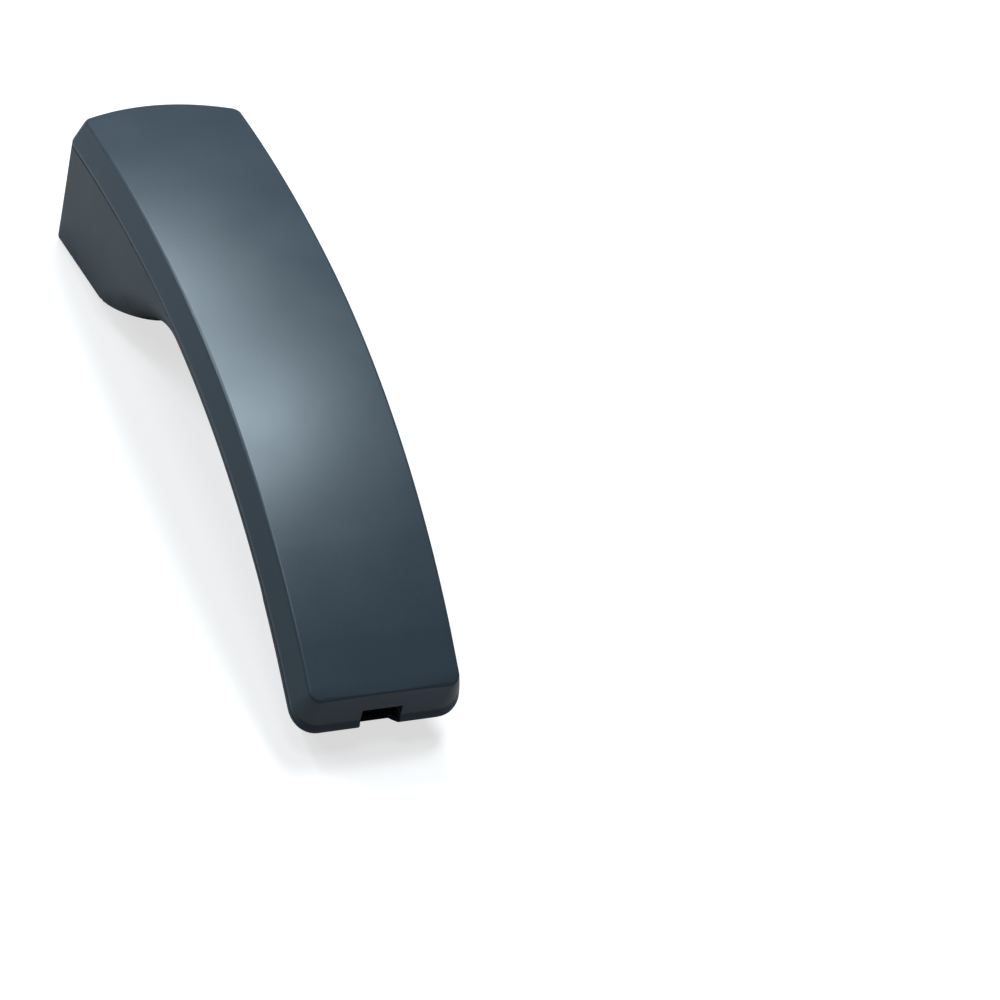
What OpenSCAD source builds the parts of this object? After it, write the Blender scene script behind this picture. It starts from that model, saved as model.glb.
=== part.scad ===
// Desk telephone handset, lying face down as it rests on its ear face and its mouthpiece.
// The shells are lofts along an arch. A point of them is given by s, the distance along the crown
// from the middle towards the ear end, x across, and n, the depth below the crown.

/* [Crown] */
// Crown length from the middle to the ear end
ear_reach = 100.2; // [96:0.2:106]
// Crown length from the middle to the mouthpiece end
mic_reach = 94.6; // [88:0.2:106]
// Radius of the crown's arch
arch_r = 240; // [200:1:320]
// Radius of the flatter arch towards the ear end
ear_arch_r = 350; // [300:1:450]
// Place along the crown where the flatter arch starts
arch_change = 35; // [15:1:45]
// Width of the crown at the mouthpiece end
crown_w_mic = 42.5; // [40:0.1:46]
// Width of the crown in the middle
crown_w = 44.6; // [42:0.1:48]
// Width of the crown at the ear end
crown_w_ear = 46; // [43:0.1:50]
// Rise of the crown between its long edges
crown_bulge = 0.7; // [0.2:0.1:1.6]
// Rise of the curved ear end beyond its corners
ear_end_bulge = 4.8; // [1:0.1:6]
// Corner radius of the crown at the mouthpiece end
crown_corner_mic = 3; // [2:0.1:5]
// Corner radius of the crown at the ear end
crown_corner_ear = 2; // [1.6:0.1:4]
// Width of the rounding along the crown's edge
crown_edge = 0.6; // [0.3:0.1:1]

/* [Sides] */
// How far the sides lean out below the crown
side_lean = 2.8; // [2:0.1:4]
// How far the mouthpiece end slopes out below the crown
mic_slope_out = 5; // [4:0.1:7]
// How far the ear end leans out below the crown
ear_lean = 1.7; // [0.6:0.1:2.4]
// Depth at which the leaning sides turn upright
side_drop = 6.45; // [5.5:0.05:7.5]
// Height of the upright lip above the parting line
lip_h = 1.4; // [1:0.1:2]
// How far the lip runs on outwards at the mouthpiece end
mic_lip_out = 1.9; // [0.8:0.1:2.4]
// Corner radius of the parting line at the mouthpiece end
corner_r = 7; // [6:0.1:10]
// Corner radius of the parting line at the ear end
ear_end_corner_r = 2.2; // [1.8:0.1:5]
// Wall of both shells
wall = 2.2; // [1.8:0.1:2.6]
// Gap along the parting line
part_gap = 0.2; // [0.1:0.05:0.3]
// Height of the tongue that keeps the shells in line
tongue_h = 1.5; // [1:0.1:2]
// Clearance around the tongue
tongue_clear = 0.15; // [0.1:0.05:0.3]

/* [Underside] */
// Depth of the grip's underside below the crown
grip_depth = 18.6; // [17.5:0.1:21]
// Half of the flat width of the grip's underside
grip_flat = 10.8; // [9:0.1:12]
// Height of the front shell's upright strip below the parting line
strip_h = 1; // [0.6:0.1:2]
// How full the rounding of the underside's long edges is
edge_fullness = 2.2; // [1.8:0.1:3]
// Depth of the ear face at the ear end
ear_depth = 37.4; // [35:0.1:40]
// Angle of the ear face to the middle of the crown
ear_face_angle = 19.5; // [18.5:0.1:20.5]
// Length of the ear face
ear_face_len = 44.4; // [43:0.2:50]
// Radius of the ear face's inner corners
ear_corner_r = 16; // [13:0.2:18]
// Steepness of the wall from the ear face up to the grip
ear_wall_steep = 0.95; // [0.8:0.01:1.1]
// Length of the blend between grip and ear wall
ear_blend = 20; // [12:0.5:24]
// Rounding of the ear face's rim
ear_rim_r = 1; // [0.5:0.1:1.5]
// How far the ear end wall draws in towards the ear face
ear_end_draft = 1; // [0.4:0.1:1.6]
// Thickness of the ear face
ear_floor = 5; // [4:0.1:6]
// Depth of the mouthpiece face at its middle
mic_depth = 25; // [23.5:0.1:27]
// Distance from the middle to the near edge of the mouthpiece face
mic_face_near = 63; // [60:0.5:66]
// Distance from the middle to the far edge of the mouthpiece face
mic_face_far = 90; // [87:0.5:93]
// Steepness of the wall from the mouthpiece face up to the grip
mic_wall_steep = 0.7; // [0.5:0.01:0.9]
// Length of the blend between grip and mouthpiece wall
mic_blend = 5; // [3:0.5:8]
// Depth of the small flats on which the handset rests
rest_flat = 0.1; // [0.05:0.05:0.2]

/* [Ear dish and sound slots] */
// Diameter of the dish in the ear face
dish_d = 40; // [36:0.5:42]
// Depth of the dish
dish_depth = 2.4; // [1.5:0.1:3]
// Diameter of the flat floor of the dish
dish_floor_d = 24; // [20:0.5:28]
// Number of sound slots on the outer ring
slot_count = 6; // [4:1:8]
// Width of a sound slot
slot_w = 1.8; // [1.2:0.1:2.4]
// Radius of the ring of sound slots
slot_ring_r = 7.5; // [6:0.1:9]
// Length of a sound slot as an angle
slot_angle = 36; // [24:1:40]
// Diameter of the middle sound hole
centre_hole_d = 2.4; // [1.6:0.1:3.4]

/* [Receiver] */
// Diameter of the receiver's frame
receiver_d = 33; // [30:0.5:35]
// Height of the receiver's frame
receiver_h = 5.6; // [5:0.1:7]
// Wall of the receiver's frame
receiver_wall = 1.2; // [1:0.1:1.6]
// Diameter of the receiver's magnet
magnet_d = 15; // [12:0.5:17]
// Height of the receiver's magnet
magnet_h = 3.2; // [2.4:0.1:4]
// Diameter of the yoke cup around the magnet
yoke_d = 21; // [19:0.5:24]
// Wall of the yoke cup
yoke_wall = 1.4; // [1.2:0.1:2]
// Thickness of the pole plate
pole_t = 1; // [0.8:0.1:1.4]
// Wall of the voice coil
coil_wall = 0.6; // [0.4:0.1:0.8]
// Height of the voice coil
coil_h = 2.6; // [2:0.1:3.2]
// Thickness of the diaphragm
diaphragm_t = 0.4; // [0.3:0.1:0.6]
// Thickness of the ring gasket under the receiver
gasket_t = 1; // [0.8:0.1:1.6]
// Thickness of the acoustic cloth behind the slots
cloth_t = 0.4; // [0.3:0.1:0.5]
// Thickness of the retainer over the receiver
retainer_t = 1.6; // [1.2:0.1:2]
// Radius from the receiver's axis to the retainer's screws
retainer_screw_r = 20; // [19:0.1:21]

/* [Mouthpiece] */
// Diameter of the microphone capsule
capsule_d = 9.7; // [9:0.1:10.5]
// Height of the microphone capsule
capsule_h = 5; // [4:0.1:6.5]
// Wall of the rubber boot around the capsule
boot_wall = 1.2; // [0.8:0.1:1.6]
// Diameter of the mouthpiece's dimple
dimple_d = 11; // [9:0.5:13]
// Depth of the mouthpiece's dimple
dimple_depth = 0.8; // [0.4:0.1:1]
// Diameter of each microphone hole
mic_hole_d = 1.5; // [1:0.1:2]
// Distance between microphone holes
mic_hole_pitch = 3; // [2.6:0.1:3.4]

/* [Cord jack] */
// Width of the jack's housing
jack_w = 11.2; // [10.6:0.1:12]
// Height of the jack's housing
jack_h = 10; // [9.4:0.1:10.6]
// Length of the jack's housing
jack_len = 14; // [12:0.5:16]
// Width of the plug opening
plug_w = 7.9; // [7.7:0.1:8.3]
// Height of the plug opening
plug_h = 6.8; // [6.4:0.1:7.2]
// Length of the plug opening
plug_len = 11; // [10:0.5:12]
// Width of the notch in the shells in front of the jack
notch_w = 11.5; // [11.3:0.1:12.4]
// Depth below the crown at which the notch starts
notch_top = 4.1; // [3.6:0.1:4.6]
// Number of contact wires
contact_count = 4; // [4:1:4]
// Distance between contact wires
contact_pitch = 1.02; // [1:0.01:1.1]
// Thickness of a contact wire
contact_t = 0.46; // [0.4:0.02:0.56]

/* [Ballast] */
// Length of the steel ballast bar
ballast_len = 44; // [36:1:48]
// Width of the ballast bar
ballast_w = 22; // [16:0.5:24]
// Thickness of the ballast bar
ballast_t = 5; // [4:0.1:6]
// Place of the ballast bar's middle along the crown
ballast_s = -17; // [-22:0.5:-12]
// Thickness of the foam pad over the ballast bar
pad_t = 1.6; // [1:0.1:2]

/* [Screws] */
// Place of the ear side housing screw along the crown
ear_screw_s = 16; // [12:0.5:20]
// Place of the mouthpiece side housing screw along the crown
mic_screw_s = -50; // [-54:0.5:-47]
// Thread diameter of the housing screws
screw_d = 2.6; // [2.2:0.1:3]
// Head diameter of the housing screws
screw_head_d = 4.8; // [4.4:0.1:5.4]
// Head height of the housing screws
screw_head_h = 1.8; // [1.4:0.1:2.2]
// Length of the housing screws under the head
screw_len = 9; // [8:0.5:11]
// Diameter of the posts that the screws stand in
post_d = 8; // [7.4:0.1:9]
// Diameter of the screw wells in the front shell
well_d = 5.8; // [5.6:0.1:6.4]
// Thickness of the plugs that close the screw wells
plug_t = 1.8; // [1.4:0.1:2.4]
// Thread diameter of the small screws inside
small_screw_d = 2; // [1.6:0.1:2.4]
// Head diameter of the small screws inside
small_head_d = 3.8; // [3.4:0.1:4.2]
// Head height of the small screws inside
small_head_h = 1.2; // [1:0.1:1.6]
// Length of the small screws inside
small_screw_len = 5; // [4:0.5:6]

/* [Wiring] */
// Diameter of one insulated wire
wire_d = 1.2; // [1:0.1:1.6]

/* [Hidden] */
fit_clear = 0.15;
seat_clear = 0.05;
// Ribs inside the shells, and the posts under the retainer's screws
rib_t = 1.4;
pad_rib_w = 16;
bar_rib_w = 18;
boss_d = 5;
back_colour = "#5b6a75";
front_colour = "#48535d";
metal_colour = "#a9adb0";

// Number of steps round a corner, across the crown, and of turns in the end rows
corner_steps = 5;
cross_steps = 9;

// The arch
change_angle = arch_change / arch_r * 180 / PI;
flat_centre = [
    (arch_r - ear_arch_r) * sin(change_angle),
    (arch_r - ear_arch_r) * cos(change_angle) - arch_r
];
function is_ear_side(s) = s > arch_change;
function slope_angle(s) = is_ear_side(s)
    ? change_angle + (s - arch_change) / ear_arch_r * 180 / PI
    : s / arch_r * 180 / PI;
function arch_centre(s) = is_ear_side(s) ? flat_centre : [0, -arch_r];
function arch_radius(s) = is_ear_side(s) ? ear_arch_r : arch_r;
// Place in the side view of a point at s along the crown and n below it
function side_point(s, n) =
    arch_centre(s) + (arch_radius(s) - n) * [sin(slope_angle(s)), cos(slope_angle(s))];
function arch_point(p) = let (q = side_point(p[0], p[2])) [p[1], q[0], q[1]];
function s_on_flat_arch(q) =
    let (d = q - flat_centre)
    arch_change + (atan2(d[0], d[1]) - change_angle) * PI / 180 * ear_arch_r;
// Depth below the crown of a plane through point q whose normal leans by angle a
function plane_depth(s, q, a) =
    arch_radius(s) - (q - arch_centre(s)) * [sin(a), cos(a)] / cos(slope_angle(s) - a);
function smooth(t) = let (c = min(max(t, 0), 1)) c * c * (3 - 2 * c);
function smooth_max(a, b, k) = let (h = max(k - abs(a - b), 0) / k) max(a, b) + h * h * k / 4;

// The plan: half widths and ends
width_curve = ((crown_w_ear - crown_w) / ear_reach + (crown_w_mic - crown_w) / mic_reach)
    / (ear_reach + mic_reach) / 2;
width_slope = (crown_w_ear - crown_w) / ear_reach / 2 - width_curve * ear_reach;
function crown_half(s) =
    let (c = min(max(s, -mic_reach), ear_reach)) crown_w / 2 + width_slope * c + width_curve * c * c;
function side_half(s) = crown_half(s) + side_lean;
part_n = side_drop + lip_h;
strip_n = part_n + strip_h;
mic_end = -(mic_reach + mic_slope_out + mic_lip_out);
ear_end = ear_reach + ear_lean;
tongue_n = part_n - tongue_h;

// The ear face
ear_low = side_point(ear_reach, ear_depth);
ear_inner = ear_low - ear_face_len * [cos(ear_face_angle), -sin(ear_face_angle)];
ear_in_s = s_on_flat_arch(ear_inner);
ear_stretch = ear_arch_r / (ear_arch_r - ear_depth);
ear_side_s = ear_in_s + ear_stretch * ear_corner_r;
blend_start = ear_in_s - 1.4 * ear_blend;
function ear_face_n(s) = plane_depth(s, ear_low, ear_face_angle);
function rim_s(s, x) =
    let (inner = side_half(s) - ear_corner_r, c = min(max(x - inner, 0), ear_corner_r))
    ear_in_s + ear_stretch * (ear_corner_r - sqrt(ear_corner_r * ear_corner_r - c * c));

// The mouthpiece face
mic_mid = -(mic_face_near + mic_face_far) / 2;
mic_low = side_point(mic_mid, mic_depth);
function mic_face_n(s) = plane_depth(s, mic_low, slope_angle(mic_mid));
mic_wall_top = mic_face_n(-mic_face_near);
function grip_n(s) =
    s > 0 ? grip_depth
    : s < -mic_face_near ? mic_face_n(max(s, -mic_face_far))
    : smooth_max(grip_depth, mic_wall_top - (s + mic_face_near) * mic_wall_steep, mic_blend);

// Half width of the flat middle of the underside
function flat_half(s) =
    let (
        inner = side_half(ear_in_s) - ear_corner_r,
        d = min(max((s - ear_in_s) / ear_stretch, 0), ear_corner_r),
        arc = sqrt(ear_corner_r * ear_corner_r - pow(ear_corner_r - d, 2))
    )
    s < ear_in_s
    ? grip_flat + (inner - grip_flat) * smooth((s - blend_start) / (ear_in_s - blend_start))
    : min(side_half(s) - ear_corner_r + arc, side_half(s) - ear_rim_r);
// Depth of the underside at s and x, where r runs from 0 at the flat middle to 1 at the side
function under_n(s, x, r) =
    let (
        g = strip_n + (grip_n(s) - strip_n) * (1 - pow(r, edge_fullness)),
        face = ear_face_n(s),
        rim = rim_s(s, x),
        slope = ear_face_n(rim) - (rim - s) * ear_wall_steep
    )
    s <= 0 ? g
    : s >= rim ? face
    : min(face, smooth_max(g, slope, ear_blend));
function rim_round(s, r) = s > ear_in_s ? ear_rim_r * (1 - sqrt(max(1 - r * r, 0))) : 0;

// Stations along the arch that all the lofts share
function steps(a, b, count) = [for (j = [0 : count - 1]) a + (b - a) * j / count];
mid_stations = concat(
    steps(10 - mic_face_far, -mic_face_near, 3),
    steps(-mic_face_near, 10 - mic_face_near, 4),
    steps(10 - mic_face_near, blend_start, 5),
    steps(blend_start, ear_in_s, 7),
    [for (a = [0 : 18 : 72]) ear_in_s + (ear_side_s - ear_in_s) * (1 - cos(a))],
    steps(ear_side_s, ear_reach - ear_end_corner_r - 1, 5)
);
last_row = len(mid_stations) + 2 * corner_steps + 1;

// One row of an outline: its s, and its half width for a base half width h(s)
function row_s(i, ends, radii) =
    i <= corner_steps ? ends[0] + radii[0] * (1 - cos(90 * i / corner_steps))
    : i >= last_row - corner_steps
        ? ends[1] - radii[1] * (1 - cos(90 * (last_row - i) / corner_steps))
    : mid_stations[i - corner_steps - 1];
function row_cut(i, radii) =
    i <= corner_steps ? radii[0] * (1 - sin(90 * i / corner_steps))
    : i >= last_row - corner_steps ? radii[1] * (1 - sin(90 * (last_row - i) / corner_steps))
    : 0;
// The ear end's curve, which fades out along the crown
function bulge(s, x) =
    ear_end_bulge * (1 - pow(x / side_half(s), 2)) * smooth((s - ear_in_s) / (ear_reach - ear_in_s));
// Corner radius left at a distance t inside a corner of radius r
function inner_r(r, t) = max(r - t, 0.4);

// Place across, from -1 to 1
function across(q) = 2 * q[1] / cross_steps - 1;

// Rows and columns round the border of a lofted lid, and those inside it
border = concat(
    [for (k = [0 : cross_steps]) [0, k]],
    [for (i = [1 : last_row - 1]) [i, cross_steps]],
    [for (k = [0 : cross_steps]) [last_row, cross_steps - k]],
    [for (i = [1 : last_row - 1]) [last_row - i, 0]]
);
inside = [for (i = [1 : last_row - 1], k = [1 : cross_steps - 1]) [i, k]];
loop_len = len(border);
function border_index(i, k) =
    i == 0 ? k
    : i == last_row ? 2 * cross_steps + last_row - k
    : k == cross_steps ? cross_steps + i
    : 2 * cross_steps + 2 * last_row - i;
function grid_index(i, k, loop_start, inside_start) =
    i == 0 || i == last_row || k == 0 || k == cross_steps
    ? loop_start + border_index(i, k)
    : inside_start + (i - 1) * (cross_steps - 1) + k - 1;
function lid_faces(loop_start, inside_start, flip) = [
    for (i = [0 : last_row - 1], k = [0 : cross_steps - 1], half = [0, 1])
    let (
        a = grid_index(i, k, loop_start, inside_start),
        b = grid_index(i, k + 1, loop_start, inside_start),
        c = grid_index(i + 1, k + 1, loop_start, inside_start),
        d = grid_index(i + 1, k, loop_start, inside_start),
        f = half == 0 ? [a, b, c] : [a, c, d]
    )
    flip ? [f[2], f[1], f[0]] : f
];
function band_faces(level) = [
    for (j = [0 : loop_len - 1], half = [0, 1])
    let (
        a = level * loop_len + j,
        b = level * loop_len + (j + 1) % loop_len,
        c = b + loop_len,
        d = a + loop_len
    )
    half == 0 ? [a, c, b] : [a, d, c]
];
// A closed solid through a stack of loops, closed at both ends by lids
module lofted(loops, first_inside, last_inside, flip = false) {
    count = len(loops);
    first_start = count * loop_len;
    faces = concat(
        lid_faces(0, first_start, false),
        [for (level = [0 : count - 2]) each band_faces(level)],
        lid_faces((count - 1) * loop_len, first_start + len(inside), true)
    );
    polyhedron(
        points = [
            for (p = concat([for (l = loops) each l], first_inside, last_inside)) arch_point(p)
        ],
        faces = flip ? [for (f = faces) [f[2], f[1], f[0]]] : faces
    );
}

// Points of a level outline, drawn in by o from the parting line's outline and by another m at the
// mouthpiece end, at depth n
function part_outline(q, o, n, m) =
    let (
        ends = [mic_end + o + m, ear_end - o],
        radii = [corner_r - o, inner_r(ear_end_corner_r, o)],
        s = row_s(q[0], ends, radii),
        x = across(q) * (side_half(s) - o - row_cut(q[0], radii))
    )
    [s + bulge(s, x), x, n];
function part_loop(o, n, m = 0) = [for (q = border) part_outline(q, o, n, m)];
tongue_in = mic_lip_out + 0.8;

// Levels of the back shell's outside: depth, then how far the sides, the mouthpiece end and the ear
// end stand out from the crown's outline
function side_level(n) = [
    n, side_lean * n / side_drop, mic_slope_out * n / side_drop, ear_lean * n / side_drop
];
back_levels = [
    [0, -crown_edge, -crown_edge, -crown_edge],
    [0.3 * crown_edge, -0.1 * crown_edge, -0.1 * crown_edge, -0.1 * crown_edge],
    side_level(crown_edge + 0.2),
    side_level(side_drop)
];
function back_point(q, level) =
    let (
        grow = level[0] / side_drop,
        radii = [
            crown_corner_mic + (corner_r - crown_corner_mic) * grow,
            crown_corner_ear + (ear_end_corner_r - crown_corner_ear) * grow
        ],
        ends = [-mic_reach - level[2], ear_reach + level[3]],
        s = row_s(q[0], ends, radii),
        u = across(q),
        x = u * (crown_half(s) + level[1] - row_cut(q[0], radii)),
        rise = crown_bulge * (1 - u * u) * (1 - min(grow * 4, 1))
    )
    [s + bulge(s, x), x, level[0] - rise];

// Levels of the front shell's outside: a runs down the upright side, r in across the rounding
function upright_n(s, t) =
    let (
        side = side_half(s),
        x = side - t,
        r = (x - flat_half(s)) / (side - flat_half(s)),
        n = under_n(s, x, max(r, 0))
    )
    (t == 0 && s > ear_in_s ? min(n, ear_face_n(s) - ear_rim_r) : n) - shell_t(s, t);
// Thickness taken off the outside to get the inside
function shell_t(s, t) =
    t == 0 ? 0 : wall + (ear_floor - wall) * smooth((s - ear_in_s + ear_blend / 2) / ear_blend * 2);
function front_side(q, a, t) =
    let (
        radii = [corner_r - t, inner_r(ear_end_corner_r, t)],
        ends = [mic_end + t, ear_end - t - a * ear_end_draft],
        s = row_s(q[0], ends, radii),
        x = across(q) * (side_half(s) - t - row_cut(q[0], radii)),
        at = s + bulge(s, x)
    )
    [at, x, part_n + (upright_n(at, t) - part_n) * a];
function front_under(q, r, t) =
    let (
        flat_end = -mic_face_far + t / 2,
        ends = [
            flat_end + (mic_end + t - flat_end) * r,
            ear_end - t - ear_end_draft - (t == 0 ? ear_rim_r : 0.2) * (1 - r)
        ],
        radii = [(corner_r - t) * (0.3 + 0.7 * r), inner_r(ear_end_corner_r, t)],
        s = row_s(q[0], ends, radii),
        side = side_half(s) - t,
        flat = min(flat_half(s), side - 0.5),
        half = flat + (side - flat) * r,
        share = max(1 - t / (side_half(s) - flat_half(s)), 0),
        x = across(q) * (half - row_cut(q[0], radii)),
        at = s + bulge(s, x),
        n = under_n(at, abs(across(q)) * half, r * share)
    )
    [at, x, (t == 0 && at > ear_in_s ? min(n, ear_face_n(at) - rim_round(at, r)) : n) - shell_t(at, t)];

// The handset is tilted so that the lowest points of the ear face and the mouthpiece meet the ground
front_a = [0, 0.33, 0.67, 1];
front_r = [0, 0.26, 0.5, 0.7, 0.86];
function tilted(q, a) = [q[0] * cos(a) - q[1] * sin(a), q[0] * sin(a) + q[1] * cos(a)];
function side_view(p) = side_point(p[0], p[2]);
low_points = [for (r = front_r, q = border) side_view(front_under(q, r, 0))];
end_points = [for (n = [side_drop, part_n], q = border) side_view(part_outline(q, 0, n, 0))];
function lowest(points, a) =
    let (z = [for (q = points) tilted(q, a)[1]], low = min(z))
    points[search(low, z)[0]];
function tilt_on(a) =
    let (
        ear = lowest([for (q = low_points) if (q[0] > 0) q], a),
        mic = lowest([for (q = low_points) if (q[0] < 0) q], a)
    )
    atan((mic[1] - ear[1]) / (ear[0] - mic[0]));
rest_tilt = tilt_on(tilt_on(3));
rest_y = [for (q = concat(low_points, end_points)) tilted(q, rest_tilt)[0]];
rest_shift = [
    0,
    -(max(rest_y) + min(rest_y)) / 2,
    -min([for (q = low_points) tilted(q, rest_tilt)[1]]) - rest_flat
];
module rest() {
    translate(rest_shift) rotate([rest_tilt, 0, 0]) children();
}
// Frames on the arch: +Z out through the crown, +Y towards the ear end
module on_arch(s, n = 0) {
    q = side_point(s, n);
    rest() translate([0, q[0], q[1]]) rotate([-slope_angle(s), 0, 0]) children();
}
// Frame in the middle of the ear dish: +Z from the face into the handset
ear_mid = (ear_face_len - ear_end_bulge / 3) / 2;
module on_ear_face() {
    rest() translate([0, ear_low[0], ear_low[1]]) rotate([-ear_face_angle, 0, 0])
        translate([0, -ear_mid, 0]) children();
}
// Frame in the middle of the mouthpiece face: +Z into the handset
module on_mic_face() {
    on_arch(mic_mid, mic_depth) children();
}
module ring(outer_d, inner_d, h) {
    difference() {
        cylinder(d = outer_d, h = h, $fn = 64);
        translate([0, 0, -1]) cylinder(d = inner_d, h = h + 2, $fn = 64);
    }
}

// Heights above the ear face
seat_z = ear_floor - 0.5;
cloth_z = seat_z - cloth_t;
frame_z = seat_z + gasket_t;
lip_t = 0.6;
plate_t = 1.2;
diaphragm_z = frame_z + lip_t + seat_clear;
coil_z = diaphragm_z + diaphragm_t + seat_clear;
pole_z = coil_z + 1;
magnet_z = pole_z + pole_t + seat_clear;
yoke_base_z = magnet_z + magnet_h + seat_clear;
frame_top_z = frame_z + receiver_h;
retainer_z = frame_top_z + seat_clear;
cloth_d = 22;
gasket_hole_d = 20;
screw_angles = [90, 210, 330];

// Housing screws: a post of each shell meets the other's at meet_n
meet_n = 11;
head_n = meet_n + 2.4;
function plug_n(s) = under_n(s, 0, 0);

// The jack
jack_front = -2.5;
jack_n = notch_top + 0.4;
// Ribs under the jack and beside it, drawn in the jack's side view
jack_floor = mic_depth - wall / 2 - jack_n - jack_h;
jack_cradle = [
    [2, -seat_clear], [jack_len - 1, -seat_clear], [jack_len - 1, -jack_floor],
    [7, -jack_floor], [2, -5]
];
jack_fence = [[2, 4], [jack_len - 1, 4], [jack_len - 1, -jack_floor], [7, -jack_floor], [2, -5]];
// A plate of thickness t across x, drawn by its side view
module side_plate(points, t) {
    rotate([90, 0, 90]) translate([0, 0, -t / 2]) linear_extrude(height = t) polygon(points);
}

module notch() {
    bottom = jack_n + jack_h + seat_clear;
    on_arch(-mic_reach)
        translate([-notch_w / 2, -20, -bottom])
            cube([notch_w, 20 + jack_front - seat_clear, bottom - notch_top]);
    on_jack() translate([-jack_w / 2 - seat_clear, -1, 0])
        cube([jack_w + 2 * seat_clear, 1 + jack_len / 2, jack_h + seat_clear]);
}
module back_loft() {
    top_inside = [wall, -wall * 0.8, -wall * 0.8, -wall];
    bottom = part_n - part_gap;
    groove = wall / 2 - tongue_clear;
    lofted(
        concat(
            [for (l = back_levels) [for (q = border) back_point(q, l)]],
            [
                part_loop(0, bottom),
                part_loop(groove, bottom, tongue_in),
                part_loop(groove, tongue_n - part_gap, tongue_in),
                part_loop(wall, tongue_n - part_gap, tongue_in),
                [for (q = border) back_point(q, top_inside)]
            ]
        ),
        [for (q = inside) back_point(q, back_levels[0])],
        [for (q = inside) back_point(q, top_inside)],
        flip = true
    );
}
module back_shell() {
    color(back_colour) {
        difference() {
            union() {
                rest() back_loft();
                for (s = [ear_screw_s, mic_screw_s])
                    on_arch(s, meet_n) cylinder(d = post_d, h = meet_n - wall / 2, $fn = 48);
                for (side = [-1, 1])
                    on_mic_face()
                        translate([side * (capsule_d / 2 + boot_wall / 2) - 0.6, -2, boot_top_z + seat_clear])
                            cube([1.2, 4, mic_depth - boot_top_z - wall / 2]);
                for (s = [ballast_s - ballast_len / 4, ballast_s + ballast_len / 4])
                    on_arch(s, pad_top_n - seat_clear)
                        translate([-pad_rib_w / 2, -rib_t / 2, 0])
                            cube([pad_rib_w, rib_t, pad_top_n - seat_clear - wall / 2]);
            }
            for (s = [ear_screw_s, mic_screw_s])
                on_arch(s, meet_n + 1) cylinder(d = screw_d, h = screw_len - 1, $fn = 32);
            notch();
        }
    }
}

module front_loft() {
    lofted(
        concat(
            [for (r = front_r) [for (q = border) front_under(q, r, 0)]],
            [for (j = [0 : 3]) [for (q = border) front_side(q, front_a[3 - j], 0)]],
            [
                part_loop(wall / 2, part_n, tongue_in),
                part_loop(wall / 2, tongue_n, tongue_in),
                part_loop(wall, tongue_n, tongue_in),
                part_loop(wall, part_n + 0.5, tongue_in)
            ],
            [for (a = [0.5, 1]) [for (q = border) front_side(q, a, wall)]],
            [for (r = [0.7, 0.35, 0]) [for (q = border) front_under(q, r, wall)]]
        ),
        [for (q = inside) front_under(q, 0, 0)],
        [for (q = inside) front_under(q, 0, wall)]
    );
}
module sound_slots() {
    translate([0, 0, -1]) cylinder(d = centre_hole_d, h = ear_floor + 2, $fn = 32);
    for (j = [0 : slot_count - 1])
        rotate([0, 0, (j + 0.5) * 360 / slot_count - slot_angle / 2])
            translate([0, 0, -1])
                rotate_extrude(angle = slot_angle, $fn = 64)
                    translate([slot_ring_r - slot_w / 2, 0]) square([slot_w, ear_floor + 2]);
}
module dish() {
    translate([0, 0, -1])
        rotate_extrude($fn = 96)
            polygon([
                [0, 0], [dish_d / 2, 0], [dish_d / 2, 1], [dish_floor_d / 2, dish_depth + 1],
                [0, dish_depth + 1]
            ]);
}
boot_z = wall - 0.4;
capsule_z = boot_z + boot_wall;
boot_top_z = capsule_z + capsule_h;
felt_t = 0.5;
felt_z = boot_z - felt_t;
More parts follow.
